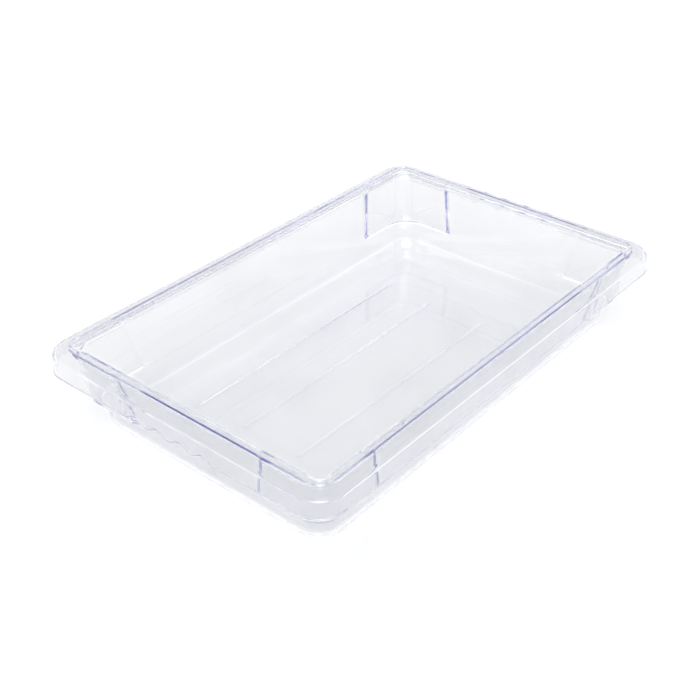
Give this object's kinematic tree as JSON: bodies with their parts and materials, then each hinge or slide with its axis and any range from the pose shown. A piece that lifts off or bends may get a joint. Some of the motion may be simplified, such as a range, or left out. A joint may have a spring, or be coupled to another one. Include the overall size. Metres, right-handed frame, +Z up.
{
  "type": "shallow food pan",
  "caption": "Shallow rectangular clear plastic food pan with a flat skirted rim for a lid, tapered walls, corner pockets and a ribbed floor.",
  "frame": {"origin": "centre of the flat underside, on the surface the pan stands on", "axes": "+X along the long side, +Y along the short side, +Z up out of the open top"},
  "size_m": [0.4572, 0.302, 0.086],
  "materials": {
    "clear_plastic": "clear, glossy, with fine handling marks"
  },
  "bodies": {
    "root": {"pan": "clear_plastic"}
  },
  "joints": []
}
